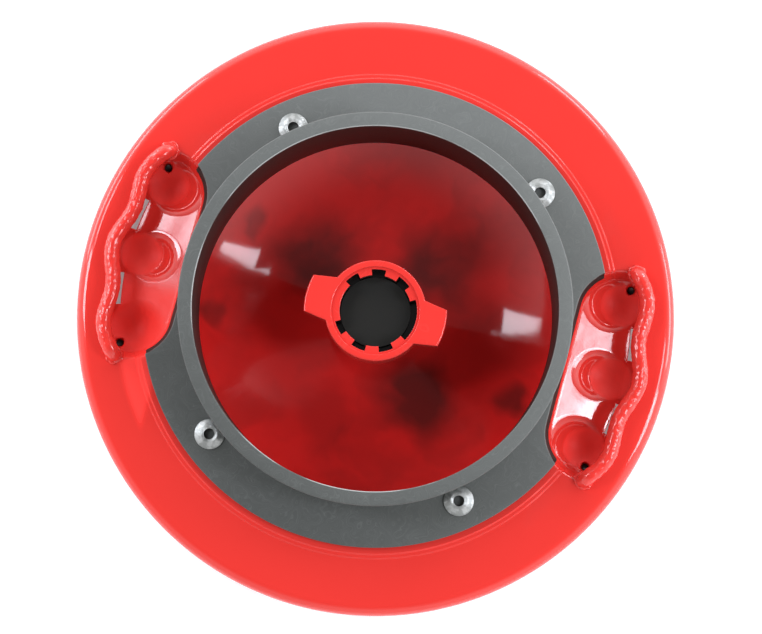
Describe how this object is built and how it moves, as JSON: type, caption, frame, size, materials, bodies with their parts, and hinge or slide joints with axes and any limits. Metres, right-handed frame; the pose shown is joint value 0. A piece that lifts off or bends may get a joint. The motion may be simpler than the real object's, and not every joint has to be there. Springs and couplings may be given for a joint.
{
  "type": "blanking flange",
  "caption": "Dished blanking flange cover, red sheet steel with a black riveted seat ring, wavy grip bars over finger pockets and a castellated hub collar with opposed lugs.",
  "frame": {"origin": "centre of the base disc's underside, on the cover's axis, where it stands when it lies face up", "axes": "+Z along the cover's axis, out of the bowl; the two grips lie on the X axis"},
  "size_m": [0.25, 0.25, 0.0654],
  "materials": {
    "red_paint": "gloss",
    "black_moulding": "satin",
    "rivet_aluminium": "turned",
    "bush_bronze": "machined",
    "spring_steel": "oiled"
  },
  "bodies": {
    "cover": {"flange_plate": "red_paint", "dished_bowl": "red_paint", "base_disc": "red_paint", "right_pocket_pan": "red_paint", "left_pocket_pan": "red_paint", "right_grip_bar": "red_paint", "left_grip_bar": "red_paint", "seat_ring": "black_moulding", "blind_rivets": "rivet_aluminium", "hub_post": "red_paint", "thrust_washer": "bush_bronze", "retaining_ring": "spring_steel", "socket_cap": "black_moulding", "stop_pin": "spring_steel"},
    "collar": {"lug_collar": "red_paint", "collar_bush": "bush_bronze"}
  },
  "joints": [
    {"name": "collar_turn", "type": "hinge", "parent": "cover", "child": "collar", "pos_m": [0, 0, 0.0406], "axis": [0, 0, 1], "range_deg": [0, 90]}
  ]
}
